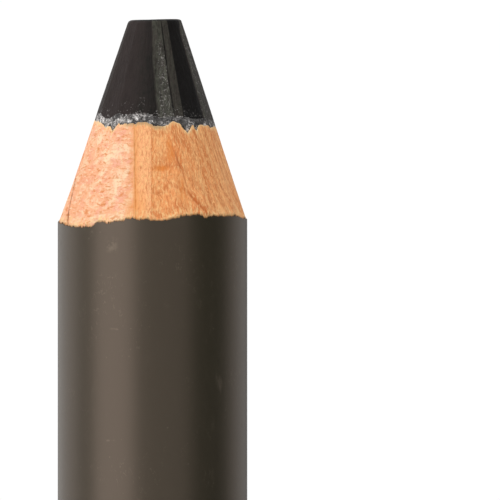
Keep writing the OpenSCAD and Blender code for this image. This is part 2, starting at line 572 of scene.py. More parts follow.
@dataclass
class Grid:
    """Rows of points that run round the pencil, collected one band after another.

    Attributes:
        rows: Points of each row, in millimetres.
        down: Place of each row down the texture, from 0 to 1.
    """

    rows: list[np.ndarray] = field(default_factory=list)
    down: list[float] = field(default_factory=list)

    def add(self, x: np.ndarray, y: np.ndarray, z: np.ndarray | float, start: float, stop: float) -> None:
        """Adds a band of rows, spread over a stretch of the texture.

        Args:
            x: Places to the right, one row after another.
            y: Places to the back.
            z: Heights.
            start: Texture place of the first row.
            stop: Texture place that a row after the last would have.
        """
        x, y, z = np.broadcast_arrays(x, y, z)
        self.rows.extend(np.stack([x, y, z], axis=-1))
        self.down.extend(np.linspace(start, stop, len(x), endpoint=False))

    @property
    def points(self) -> np.ndarray:
        """All the points, as an array of rows, columns and coordinates."""
        return np.array(self.rows)

    def closed(self, closing: Closing, marks: dict[str, np.ndarray]) -> Skin:
        """Closes the rows into a skin.

        Args:
            closing: How the grid closes.
            marks: Named values for each row and column.

        Returns:
            The closed skin.
        """
        points = self.points
        rows, columns = points.shape[:2]
        flat = points.reshape(-1, 3)
        values = {name: np.broadcast_to(mark, (rows, columns)).ravel() for name, mark in marks.items()}
        if closing is Closing.TURNED:
            return self.turned(flat, values, rows, columns)
        hoop = closing is Closing.HOOP
        quads = grid_faces(rows, columns, True, hoop)
        down = np.array(self.down + [1.0])
        places = grid_places(down, columns if hoop else columns - 1, 1.0 if hoop else SLAB_SIDES)
        others = []
        if not hoop:
            for column, way, start in zip((0, columns - 1), (-1, 1), CAPS_FROM):
                spot = points[::way, column, 1:]
                share = (spot - spot.min(axis=0)) / np.ptp(spot, axis=0)
                caps = (np.arange(rows)[::way] * columns + column, share * (CAP_WIDTH, 1.0) + (start, 0.0))
                others.append(caps)
        return Skin(flat, quads, places, others, values)

    def turned(self, flat: np.ndarray, values: dict[str, np.ndarray], rows: int, columns: int) -> Skin:
        """Closes the rows into a skin whose first and last row are single points.

        Args:
            flat: The points, row after row.
            values: The marks, row after row.
            rows: Number of rows.
            columns: Number of columns.

        Returns:
            The closed skin.
        """
        keep = np.r_[0, np.arange(columns, (rows - 1) * columns), len(flat) - 1]
        down = np.array(self.down[:-1] + [1.0])
        quads = grid_faces(rows - 2, columns, False, True) + 1
        places = grid_places(down[1:-1], columns, 1.0)
        last, others = len(keep) - 1, []
        for j in range(columns):
            beside = (j + 1) % columns
            left, middle, right = (place / columns for place in (j, j + 0.5, j + 1))
            others.append((np.array([0, 1 + j, 1 + beside]),
                           np.array([(middle, 0.0), (left, down[1]), (right, down[1])])))
            others.append((np.array([last, last - columns + beside, last - columns + j]),
                           np.array([(middle, 1.0), (right, down[-2]), (left, down[-2])])))
        return Skin(flat[keep], quads, places, others, {name: mark[keep] for name, mark in values.items()})


# Shaders


@dataclass(frozen=True)
class Term:
    """A value or colour in a shader. Python's operators on it add Math nodes."""

    graph: "Graph"
    socket: bpy.types.NodeSocket

    def __add__(self, other: "Term | float") -> "Term":
        """This plus the other."""
        return self.graph.math("ADD", self, other)

    def __radd__(self, other: float) -> "Term":
        """The other plus this."""
        return self.graph.math("ADD", other, self)

    def __sub__(self, other: "Term | float") -> "Term":
        """This less the other."""
        return self.graph.math("SUBTRACT", self, other)

    def __rsub__(self, other: float) -> "Term":
        """The other less this."""
        return self.graph.math("SUBTRACT", other, self)

    def __mul__(self, other: "Term | float") -> "Term":
        """This times the other."""
        return self.graph.math("MULTIPLY", self, other)

    def __rmul__(self, other: float) -> "Term":
        """The other times this."""
        return self.graph.math("MULTIPLY", other, self)

    def __truediv__(self, other: "Term | float") -> "Term":
        """This divided by the other."""
        return self.graph.math("DIVIDE", self, other)

    def __abs__(self) -> "Term":
        """The size of this."""
        return self.graph.math("ABSOLUTE", self)


@dataclass(frozen=True)
class Graph:
    """A node tree and the ways to add to it."""

    tree: bpy.types.NodeTree

    def node(self, kind: str, settings: dict[str, Any] | None = None,
             inputs: dict[str | int, Any] | None = None, output: int = 0) -> Term:
        """Adds a node.

        Args:
            kind: Type of the node.
            settings: Its properties.
            inputs: Its sockets, by name or number, each a term, a number or a colour.
            output: Number of the output to return.

        Returns:
            The chosen output.
        """
        node = self.tree.nodes.new(kind)
        for name, value in (settings or {}).items():
            setattr(node, name, value)
        for name, value in (inputs or {}).items():
            socket = node.inputs[name]
            if isinstance(value, Term):
                self.tree.links.new(value.socket, socket)
            elif socket.type == "RGBA":
                socket.default_value = (*value, 1.0)
            else:
                socket.default_value = value
        return Term(self, node.outputs[output] if len(node.outputs) else None)

    def math(self, operation: str, *terms: "Term | float") -> Term:
        """Adds a Math node on one or two terms."""
        return self.node("ShaderNodeMath", {"operation": operation}, dict(enumerate(terms)))

    def rise(self, value: Term, low: float, high: float) -> Term:
        """Rises from 0 to 1 along an eased curve.

        Args:
            value: What it follows.
            low: The value at which it is 0.
            high: The value at which it is 1, which may be the lower of the two.

        Returns:
            The share.
        """
        if low > high:
            return 1.0 - self.rise(value, high, low)
        inputs = {"Value": value, "From Min": low, "From Max": high}
        return self.node("ShaderNodeMapRange", {"interpolation_type": "SMOOTHSTEP"}, inputs)

    def hump(self, value: Term, low: float, high: float, soft: float) -> Term:
        """Is 1 between low and high and 0 outside, with sides that are this soft."""
        up = self.rise(value, low - soft / 2, low + soft / 2)
        return up * self.rise(value, high + soft / 2, high - soft / 2)

    def mark(self, name: str) -> Term:
        """A named value that the mesh holds at its points."""
        return self.node("ShaderNodeAttribute", {"attribute_name": name}, output=2)

    def place(self) -> tuple[Term, Term, Term]:
        """The place on the object.

        Returns:
            How far right, back and up it is, in millimetres.
        """
        where = self.node("ShaderNodeTexCoord", output=3)
        split = [self.node("ShaderNodeSeparateXYZ", inputs={0: where}, output=k) for k in range(3)]
        return tuple(part * (1 / MM) for part in split)

    def vector(self, x: "Term | float", y: "Term | float", z: "Term | float") -> Term:
        """Joins three terms into a vector."""
        return self.node("ShaderNodeCombineXYZ", inputs={0: x, 1: y, 2: z})

    def noise(self, x: "Term | float", y: "Term | float", z: "Term | float", detail: float = 2.0,
              rough: float = 0.5) -> Term:
        """Smooth noise round 0.5 whose blobs are about 1 wide in each of the three terms."""
        inputs = {"Vector": self.vector(x, y, z), "Scale": 1.0, "Detail": detail, "Roughness": rough}
        return self.node("ShaderNodeTexNoise", inputs=inputs)

    def spots(self, x: "Term | float", y: "Term | float", z: "Term | float") -> Term:
        """Distance to the nearest of scattered points, one for each unit cell."""
        return self.node("ShaderNodeTexVoronoi", inputs={"Vector": self.vector(x, y, z), "Scale": 1.0})

    def blend(self, share: "Term | float", first: "Term | Colour", second: "Term | Colour",
              mode: str = "MIX") -> Term:
        """Mixes two colours: the first at share 0, the second at share 1."""
        settings = {"data_type": "RGBA", "blend_type": mode}
        return self.node("ShaderNodeMix", settings, {0: share, 6: first, 7: second}, output=2)

    def lit(self, colour: "Term | Colour", factor: Term) -> Term:
        """A colour times a number."""
        return self.blend(1.0, colour, self.vector(factor, factor, factor), "MULTIPLY")

    def lay(self, under: "Term | Colour", over: "Term | Colour", value: Term, low: float, high: float,
            strength: "Term | float" = 1.0) -> Term:
        """Lays a colour over another where a value rises from low to high.

        Args:
            under: The colour so far.
            over: The colour on top.
            value: What decides where the top colour shows.
            low: The value up to which none of it shows.
            high: The value from which it shows at its strength.
            strength: Its share there.

        Returns:
            The new colour.
        """
        return self.blend(self.rise(value, low, high) * strength, under, over)

    def bump(self, height: Term, depth: float, under: Term | None = None) -> Term:
        """Turns a height into a normal.

        Args:
            height: The height, from 0 to 1.
            depth: How many millimetres a height of 1 is.
            under: A coarser normal that this one lies on.

        Returns:
            The normal.
        """
        inputs = {"Height": height, "Distance": depth * MM, "Strength": 1.0}
        if under is not None:
            inputs["Normal"] = under
        return self.node("ShaderNodeBump", inputs=inputs)


@dataclass(frozen=True)
class Finish:
    """A finish that becomes a material."""

    name: str

    def material(self) -> bpy.types.Material:
        """Makes the material: one shader that takes the finish's inputs.

        Returns:
            The material.
        """
        material = bpy.data.materials.new(self.name)
        material.use_nodes = True
        material.node_tree.nodes.clear()
        graph = Graph(material.node_tree)
        shader = graph.node("ShaderNodeBsdfPrincipled", inputs=self.inputs(graph))
        graph.node("ShaderNodeOutputMaterial", inputs={"Surface": shader})
        return material

    def inputs(self, graph: Graph) -> dict[str, Any]:
        """What goes into the shader. Each finish has its own."""
        raise NotImplementedError


@dataclass(frozen=True)
class Wood(Finish):
    """Bare cut wood. Its patterns follow the fibres: round the pencil in millimetres, and up.

    Attributes:
        seam_x: Place of the joint across the pencil.
        line_top: Height at which the painted glue line lies on the joint.
        line_lean: How far that line moves to the right for each millimetre down.
        fuzz: Colour of the fuzz along the edges.
        stain: Colour of the wood beside the joint.
        line: Colour of the painted glue line.
        smudge: Colour of the wood next to the lacquer.
        thread: Colour of the palest threads under the tears.
        dust: Colour of the pigment's dust on the wood.
    """

    seam_x: float = -1.06
    line_top: float = 118.0
    line_lean: float = 0.024
    fuzz: Colour = from_screen(252, 212, 150)
    stain: Colour = from_screen(243, 160, 90)
    line: Colour = from_screen(214, 126, 50)
    smudge: Colour = from_screen(142, 92, 56)
    thread: Colour = from_screen(255, 234, 196)
    dust: Colour = from_screen(150, 118, 86)

    def frayed(self, graph: Graph, colour: Term, tuft: Term) -> Term:
        """Lays fuzz and pale threads along the edges, pigment dust in front, and a smudge at the lacquer.

        Args:
            graph: The material's nodes.
            colour: The colour so far.
            tuft: Noise that makes the fuzz end raggedly.

        Returns:
            The new colour.
        """
        x, y, _ = graph.place()
        over, under = graph.mark("over_coat"), graph.mark("under_edge")
        low = graph.rise(over * 0.9 - tuft * 2.6, -0.9, -1.4)
        high = graph.rise(under - tuft * 1.1, -0.25, -0.55)
        colour = graph.blend(graph.math("MAXIMUM", low, high) * 0.7, colour, self.fuzz)
        thin = graph.rise(tuft, 0.4, 0.6) * 0.6
        colour = graph.lay(colour, self.thread, under + tuft * 0.1, 0.12, 0.06, thin)
        near = graph.hump(x, -1.6, 0.7, 0.5) * graph.rise(y, 0.0, -1.0)
        colour = graph.lay(colour, self.dust, under - tuft * 0.3, 0.12, -0.12, near * 0.55)
        return graph.lay(colour, self.smudge, over - tuft * 0.3, 0.0, -0.14, 0.7)

    def stained(self, graph: Graph, colour: Term) -> Term:
        """Tints the wood beside the joint, more so low down, and draws the thin glue line, which wanders.

        Args:
            graph: The material's nodes.
            colour: The colour so far.

        Returns:
            The new colour.
        """
        x, y, z = graph.place()
        drift = graph.noise(2.0, y * 0.2, z * 1.1, 2.0, 0.6)
        away = abs(x - self.seam_x - (self.line_top - z) * self.line_lean + (drift - 0.5) * 0.12)
        low = graph.rise(z, 115.5, 113.5)
        narrow = graph.rise(away, 0.45, 0.04) * (0.25 + drift * 0.5 + low * 0.35)
        wide = graph.rise(away, 0.9, 0.3) * low * (0.1 + drift)
        colour = graph.blend(graph.math("MAXIMUM", narrow, wide), colour, self.stain)
        dark = graph.rise(graph.noise(5.0, y * 0.4, z * 2.3, 2.0, 0.6), 0.34, 0.6)
        return graph.lay(colour, self.line, away, 0.055, 0.02, 0.2 + dark * 0.6)


@dataclass(frozen=True)
class PaleWood(Wood):
    """Wood cut so that its rays show as short cross flecks, paler in patches."""

    name: str = "Pale flecked wood"
    base: Colour = from_screen(253, 188, 147)
    cream: Colour = from_screen(255, 219, 180)
    pink: Colour = from_screen(247, 173, 145)
    # Colour of the painted shade at the wood's left outline.
    shade_tint: Colour = from_screen(238, 166, 122)
    fleck: Colour = from_screen(226, 138, 76)
    split: Colour = from_screen(134, 62, 0)

    def inputs(self, graph: Graph) -> dict[str, Any]:
        """Patches, painted shade towards the left, then flecks, arcs, dashes and ticks, cream glints, the
        stain, frayed edges and splits.

        Args:
            graph: The material's nodes.

        Returns:
            The shader's inputs.
        """
        x, _, z = graph.place()
        around = graph.mark("around")
        patch = graph.rise(graph.noise(around * 1.2, 0.0, z * 0.8, 3.0, 0.6), 0.46, 0.6)
        colour = graph.blend(patch, self.base, self.cream)
        blush = graph.noise(around * 1.5, 9.0, z * 1.8)
        colour = graph.lay(colour, self.pink, blush, 0.5, 0.62, 0.7)
        # Painted shade: the wood darkens towards its left outline.
        colour = graph.lay(colour, self.shade_tint, x, -2.6, -4.8, 0.5)
        sway = graph.noise(around * 1.4, 5.0, z * 1.2)
        thick = graph.rise(graph.noise(around, 1.0, z * 1.1), 0.4, 0.6) - patch * 0.4
        fleck = graph.noise(around * 2.0, 2.0, z * 6.0 + sway * 3.0)
        colour = graph.lay(colour, self.fleck, fleck, 0.53, 0.64, 0.5 + thick * 0.5)
        short = graph.noise(around * 3.4, 4.0, z * 9.0 + sway * 3.0, 2.0, 0.55)
        colour = graph.lay(colour, self.fleck, short, 0.53, 0.66, 0.3 + thick * 0.3)
        fine = graph.noise(around * 4.5, 12.0, z * 5.0, 2.0, 0.6)
        cell = graph.spots(around * 1.7 + fine * 0.5, 4.0, z * 3.6 + sway + fine * 0.4)
        arc = graph.rise(abs(cell - 0.3), 0.13, 0.0) * (0.35 + thick * 0.4)
        colour = graph.lay(colour, self.fleck, fine, 0.45, 0.58, arc)
        dash = graph.rise(graph.spots(around * 1.5, 11.0, z * 4.4 + fine), 0.3, 0.06) * 0.6
        colour = graph.lay(colour, self.fleck, fine, 0.42, 0.58, dash)
        tick = graph.noise(around * 8.0, 6.0, z * 4.0, 2.0, 0.6)
        colour = graph.lay(colour, self.fleck, tick, 0.56, 0.68, 0.22)
        glint = graph.noise(around * 3.0, 8.0, z * 6.0, 2.0, 0.6)
        colour = graph.lay(colour, self.cream, glint, 0.54, 0.66, 0.7)
        colour = graph.lit(colour, 0.91 + graph.noise(around * 11.0, 3.0, z * 8.0, 2.0, 0.6) * 0.18)
        tuft = graph.noise(around * 12.0, 7.0, z * 2.2)
        colour = self.frayed(graph, self.stained(graph, colour), tuft)
        colour = graph.blend(graph.mark("split"), colour, self.split)
        bump = graph.bump(tuft, 0.03, graph.bump(fleck, 0.03))
        return {"Base Color": colour, "Roughness": 0.62, "Normal": bump, "Specular IOR Level": 0.3}


@dataclass(frozen=True)
class TanWood(Wood):
    """Wood cut so that its rings show as upright lines and slanting arches, with fine dark fibres."""

    name: str = "Tan grained wood"
    base: Colour = from_screen(243, 156, 92)
    pale: Colour = from_screen(255, 200, 136)
    deep: Colour = from_screen(200, 106, 46)
    strip: Colour = from_screen(255, 186, 130)
    knot: Colour = from_screen(230, 126, 34)

    def inputs(self, graph: Graph) -> dict[str, Any]:
        """Rings, leaning bands, painted light towards the right, the paler strip beside the joint, fibres,
        knots, splits and frayed edges.

        Args:
            graph: The material's nodes.

        Returns:
            The shader's inputs.
        """
        x, y, z = graph.place()
        around = graph.mark("around")
        wave = graph.noise(x * 0.5, y * 0.5, z * 0.16)
        ring = graph.math("FRACT", (x * 0.12 - y + wave * 0.9) / 0.55)
        late = graph.rise(ring, 1.0, 0.92) * 0.4
        broad = graph.noise(around * 0.9, 3.0, z * 0.35, 3.0, 0.6)
        colour = graph.lay(self.base, self.pale, broad, 0.4, 0.64, 0.4)
        colour = graph.lay(colour, self.deep, ring, 0.35, 0.9, late)
        side = 0.14 + graph.rise(x, 1.8, 3.4) * 0.4
        along = around + graph.rise(x, 1.4, 3.4) * (z - 116.0) * 0.08
        band = graph.noise(along * 2.9, 0.0, z * 0.2, 2.0, 0.65)
        # The bands on the right are grain, weighted towards pale, which also paints light on that side.
        colour = graph.lay(colour, self.deep, band, 0.5, 0.58, side * 0.85)
        colour = graph.lay(colour, self.pale, band, 0.48, 0.4, side * 1.05)
        # Painted light: the wood lightens towards its right outline.
        colour = graph.lay(colour, self.pale, x, 3.0, 4.8, 0.2)
        edge = x + (wave - 0.5) * 0.12
        colour = graph.lay(colour, self.strip, edge, 0.02, -0.1, 0.85)
        bent = around + (graph.noise(around * 1.3, 5.0, z * 1.1, 2.0, 0.6) - 0.5) * 0.5
        fibre = graph.noise(bent * 10.5, 1.0, z * 2.4, 3.0, 0.6)
        colour = graph.lay(colour, self.deep, fibre, 0.5, 0.62, 0.52)
        glint = graph.noise(bent * 10.5, 6.0, z * 3.0, 3.0, 0.6)
        colour = graph.lay(colour, self.pale, glint, 0.5, 0.6, 0.75)
        curl = abs(graph.noise(bent * 4.5, 9.0, z * 2.0) - 0.5)
        colour = graph.lay(colour, self.deep, curl, 0.035, 0.0, 0.32)
        colour = graph.lay(colour, self.deep, abs(edge), 0.06, 0.0, graph.rise(broad, 0.4, 0.55) * 0.4)
        speck = graph.noise(bent * 11.0, 2.0, z * 5.0, 2.0, 0.6)
        colour = graph.lay(colour, self.deep, speck, 0.54, 0.68, 0.34)
        colour = graph.lit(colour, 1.06 - graph.rise(speck, 0.46, 0.3) * 0.08)
        colour = graph.blend(graph.mark("knot"), colour, self.knot)
        colour = graph.blend(graph.mark("split"), colour, self.deep)
        tuft = graph.noise(around * 12.0, 7.0, z * 2.2)
        colour = self.frayed(graph, self.stained(graph, colour), tuft)
        bump = graph.bump(tuft, 0.02, graph.bump(fibre, 0.05))
        return {"Base Color": colour, "Roughness": 0.6, "Normal": bump, "Specular IOR Level": 0.3}


@dataclass(frozen=True)
class Powdered(Finish):
    """A finish on which dry glue lies."""

    grey: Colour = from_screen(100, 94, 91)
    pale: Colour = from_screen(196, 190, 187)
    white: Colour = from_screen(250, 247, 244)
    black: Colour = from_screen(30, 27, 26)

    def crumbs(self, graph: Graph) -> Term:
        """The dry glue's colour: grey and pale clouds, thin white curls and dashes, and small black pits.

        Args:
            graph: The material's nodes.

        Returns:
            The colour.
        """
        x, y, z = graph.place()
        cloud = graph.noise(x * 2.4, y * 2.4, z * 2.6, 4.0, 0.75)
        colour = graph.lay(self.grey, self.pale, cloud, 0.44, 0.56)
        curl = abs(graph.noise(x * 4.2 + z * 2.0, y * 4.2, z * 3.6, 3.0, 0.7) - 0.5)
        colour = graph.lay(colour, self.white, curl, 0.04, 0.0, 0.45)
        dash = graph.noise(x * 7.0 + z * 3.0, y * 7.0, z * 5.0, 3.0, 0.7)
        colour = graph.lay(colour, self.white, dash, 0.54, 0.65, 0.95)
        pit = graph.noise(x * 5.0 + 4.0, y * 5.0, z * 6.5, 3.0, 0.65)
        return graph.lay(colour, self.black, pit, 0.53, 0.62, 0.9)


@dataclass(frozen=True)
class Pigment(Powdered):
    """Pressed black pigment: satin where the blade cut it, scratched rough in one olive band, dusty near the
    glue, with painted highlights at two edges.
    """

    name: str = "Black pigment"
    base: Colour = from_screen(46, 38, 36)
    olive: Colour = from_screen(74, 75, 65)
    # Colour of the painted shade on the core's left side.
    dull: Colour = from_screen(24, 25, 20)
    deep: Colour = from_screen(6, 5, 4)

    def inputs(self, graph: Graph) -> dict[str, Any]:
        """Painted shade, the rough olive band with painted highlights at its edges, dark bands, grit and
        streaks, pale specks, and dust from the glue.

        Args:
            graph: The material's nodes.

        Returns:
            The shader's inputs.
        """
        x, y, z = graph.place()
        scraped, specked, over = (graph.mark(name) for name in ("scraped", "specked", "over_line"))
        cloud = graph.noise(x * 1.2, y * 1.2, z * 0.6, 3.0, 0.6)
        colour = graph.lit(self.base, 0.7 + cloud * 0.6)
        blotch = graph.noise(x * 2.5, y * 2.0, z * 1.6 + 7.0, 3.0, 0.65)
        # Painted shade: the left of the core is darkened towards a dull olive black, in blotches.
        dull = graph.mark("dull") * (0.5 + graph.rise(blotch, 0.45, 0.65) * 0.7)
        colour = graph.blend(dull, colour, self.dull)
        smear = graph.noise(x * 7.0, y * 3.0, z * 1.2, 3.0, 0.7)
        # The olive band's mark also carries painted highlights at two of the core's edges.
        band = scraped * (0.4 + graph.rise(smear, 0.38, 0.6) * 0.6)
        colour = graph.blend(band, colour, self.olive)
        colour = graph.blend(graph.mark("dark"), colour, self.deep)
        grit = graph.noise(x * 7.0, y * 5.0, z * 4.5, 3.0, 0.75) - 0.5
        streak = graph.noise(x * 8.0, y * 4.0, z * 0.8 + 5.0, 2.0, 0.6) - 0.5
        coarse = scraped * 2.2 + specked + 0.4
        colour = graph.lit(colour, 1.0 + (grit + streak * 0.7) * coarse)
        speck = graph.noise(x * 11.0, y * 5.0, z * 7.5, 2.0, 0.7)
        clump = 0.4 + graph.rise(graph.noise(x * 2.4, y * 1.2, z * 2.0), 0.4, 0.6) * 0.4
        flecks = specked * (graph.rise(speck, 0.55, 0.66) * clump + 0.03)
        colour = graph.blend(flecks, colour, self.pale)
        powder = graph.noise(x * 6.5 + 3.0, y * 6.5, z * 6.5, 3.0, 0.75)
        dusty = graph.rise(powder - over * 1.3, 0.5, 0.66) * 0.85
        stray = graph.rise(powder, 0.61, 0.68) * graph.rise(over, 1.1, 0.3) * 0.7
        colour = graph.blend(graph.math("MAXIMUM", dusty, stray), colour, self.crumbs(graph))
        scratch = graph.noise(x * 14.0, y * 14.0, z * 0.5)
        bump = graph.bump(smear, 0.05, graph.bump(scratch, 0.012))
        rough = 0.42 + smear * 0.2 + dusty * 0.3
        return {"Base Color": colour, "Roughness": rough, "Normal": bump, "Specular IOR Level": 0.12}


@dataclass(frozen=True)
class Glue(Powdered):
    """Dry glue round the core, with pigment smeared over it."""

    name: str = "Dry mottled glue"

    def inputs(self, graph: Graph) -> dict[str, Any]:
        """Crumbs under black smears. More black lies next to the core, towards the right and along the
        wood's edge.

        Args:
            graph: The material's nodes.

        Returns:
            The shader's inputs.
        """
        x, y, z = graph.place()
        smear = graph.noise(x * 3.2 + 8.0, y * 3.2, z * 3.6, 3.0, 0.65)
        wide = graph.noise(x * 0.9 + 2.0, y * 0.9, 3.0, 1.0)
        more = smear + graph.rise(graph.mark("over_line"), -0.45, 0.1) * 0.2 + (wide - 0.5) * 0.3
        # Darker towards the right and in a stripe near the middle.
        more = more + graph.rise(x, -2.6, 0.2) * 0.12 + graph.hump(x, -0.4, 0.9, 0.5) * 0.1
        colour = graph.lay(self.crumbs(graph), self.black, more, 0.52, 0.74, 0.85)
        rim = graph.rise(graph.mark("over_wood"), 0.16, 0.02) * 0.8
        patchy = wide + smear + graph.hump(x, -1.6, 0.8, 0.5) * 0.2
        colour = graph.lay(colour, self.black, patchy, 0.9, 1.05, rim)
        return {"Base Color": colour, "Roughness": 0.75, "Normal": graph.bump(smear, 0.05)}


@dataclass(frozen=True)
class Rub:
    """A rubbed patch on the front of the lacquer: its middle and half its size, in millimetres."""

    right: float
    up: float
    half_width: float
    half_height: float


@dataclass(frozen=True)
class Lacquer(Finish):
    """Satin taupe lacquer whose pearl reflects a warm light.

    Attributes:
        base: Its colour.
        worn: Colour of dust and of rubbed places.
        pearl: Colour of the light that it reflects.
        gloss: Its roughness where nothing rubbed it.
        rubs: The rubbed patches.
    """

    name: str = "Satin taupe lacquer"
    base: Colour = from_screen(42, 40, 29)
    worn: Colour = from_screen(92, 84, 70)
    pearl: Colour = (1.0, 0.77, 0.635)
    gloss: float = 0.34
    rubs: tuple[Rub, ...] = (
        Rub(-2.4, 111.35, 0.5, 0.6), Rub(-2.2, 106.3, 0.4, 0.1),
        Rub(-2.5, 99.6, 0.4, 0.08), Rub(-3.6, 112.0, 0.1, 0.3),
    )

    def inputs(self, graph: Graph) -> dict[str, Any]:
        """A slow drift of tone, haze, curved scuffs, rubbed patches, dust specks and a faint ripple.

        Args:
            graph: The material's nodes.

        Returns:
            The shader's inputs.
        """
        x, y, z = graph.place()
        drift = graph.noise(x * 0.25, y * 0.25, z * 0.05)
        colour = graph.lit(self.base, 0.85 + drift * 0.3)
        haze = graph.rise(graph.noise(x * 0.8, y * 0.8, z * 0.5 + 3.0, 4.0, 0.7), 0.62, 0.75)
        colour = graph.blend(haze * 0.12, colour, self.worn)
        broken = graph.noise(x * 3.0, y * 3.0, z * 3.0, 3.0, 0.7)
        where = graph.rise(graph.noise(x * 0.5, y * 0.5 + 4.0, z * 0.35), 0.5, 0.64)
        where = where * graph.rise(broken, 0.46, 0.58) * 0.5
        scuff = abs(graph.noise(x * 2.2, y * 2.2, z * 0.9 + 6.0, 2.0, 0.6) - 0.5)
        colour = graph.lay(colour, self.worn, scuff, 0.02, 0.0, where)
        front = graph.rise(y, 0.0, -1.0) * graph.rise(broken, 0.44, 0.62) * 0.75
        for rub in self.rubs:
            tall = graph.rise(abs(z - rub.up) / rub.half_height, 1.0, 0.2) * front
            colour = graph.lay(colour, self.worn, abs(x - rub.right) / rub.half_width, 1.0, 0.2, tall)
        colour = graph.lay(colour, self.worn, graph.spots(x * 1.1, y * 1.1, z * 1.1), 0.07, 0.03, 0.5)
        ripple = graph.noise(x * 0.7, y * 0.7, z * 0.35)
        fine = graph.noise(x * 4.0, y * 4.0, z * 4.0)
        bump = graph.bump(fine, 0.0025, graph.bump(ripple, 0.008))
        rough = self.gloss + haze * 0.12 + (fine - 0.5) * 0.06
        return {"Base Color": colour, "Roughness": rough, "Normal": bump, "IOR": 1.6,
                "Specular IOR Level": 1.0, "Specular Tint": self.pearl}


@dataclass(frozen=True)
class SeamGlue(Finish):
    """The thin brown glue line in the joint."""

    name: str = "Brown glue line"
    base: Colour = from_screen(250, 182, 122)
    deep: Colour = from_screen(226, 146, 76)

    def inputs(self, graph: Graph) -> dict[str, Any]:
        """Brown that darkens in stretches.

        Args:
            graph: The material's nodes.

        Returns:
            The shader's inputs.
        """
        x, y, z = graph.place()
        colour = graph.lay(self.base, self.deep, graph.noise(x, y, z * 1.3, 3.0, 0.65), 0.4, 0.62)
        return {"Base Color": colour, "Roughness": 0.6}


@dataclass(frozen=True)
class PaleFloor(Finish):
    """The plain floor under the pencil."""

    name: str = "Pale floor"
    grey: Colour = (0.74, 0.74, 0.74)

    def inputs(self, graph: Graph) -> dict[str, Any]:
        """One even grey.

        Args:
            graph: The material's nodes.

        Returns:
            The shader's inputs.
        """
        return {"Base Color": self.grey, "Roughness": 0.9}


# The pencil's pieces


def round_rows(radius: np.ndarray, centre: np.ndarray | float,
               angle: np.ndarray) -> tuple[np.ndarray, np.ndarray]:
    """Places to the right and to the back of rows of points that run round the pencil.

    Right is the centre plus the radius times the angle's sine. Back is minus the radius times its cosine.

    Args:
        radius: Radius of each row, or of each row and column, in millimetres.
        centre: How far right the middle of each row's circle is.
        angle: Angle from the front in radians, one for each column or for each row and column.

    Returns:
        The places to the right and to the back.
    """
    radius = radius[:, None] if radius.ndim == 1 else radius
    centre = np.broadcast_to(centre, radius.shape[:1])[:, None]
    return centre + radius * np.sin(angle), -radius * np.cos(angle)


@dataclass(frozen=True)
class Piece:
    """A piece of the pencil, which knows its sizes and the sharpened end."""

    sizes: Sizes
    end: SharpenedEnd

    def build(self) -> bpy.types.Object:
        """Builds the piece. Each kind has its own way."""
        raise NotImplementedError

    def place(self, piece: bpy.types.Object, node: str, slot: str) -> bpy.types.Object:
        """Fixes a piece to the pencil's only body and lets it stand for a CAD node.

        Args:
            piece: The finished object.
            node: The CAD node that it replaces.
            slot: The record's material slot, which is not used.

        Returns:
            The piece.
        """
        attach(piece, "root")
        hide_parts(node)
        LOG.info("%s: %d faces", piece.name, len(piece.data.polygons))
        return piece


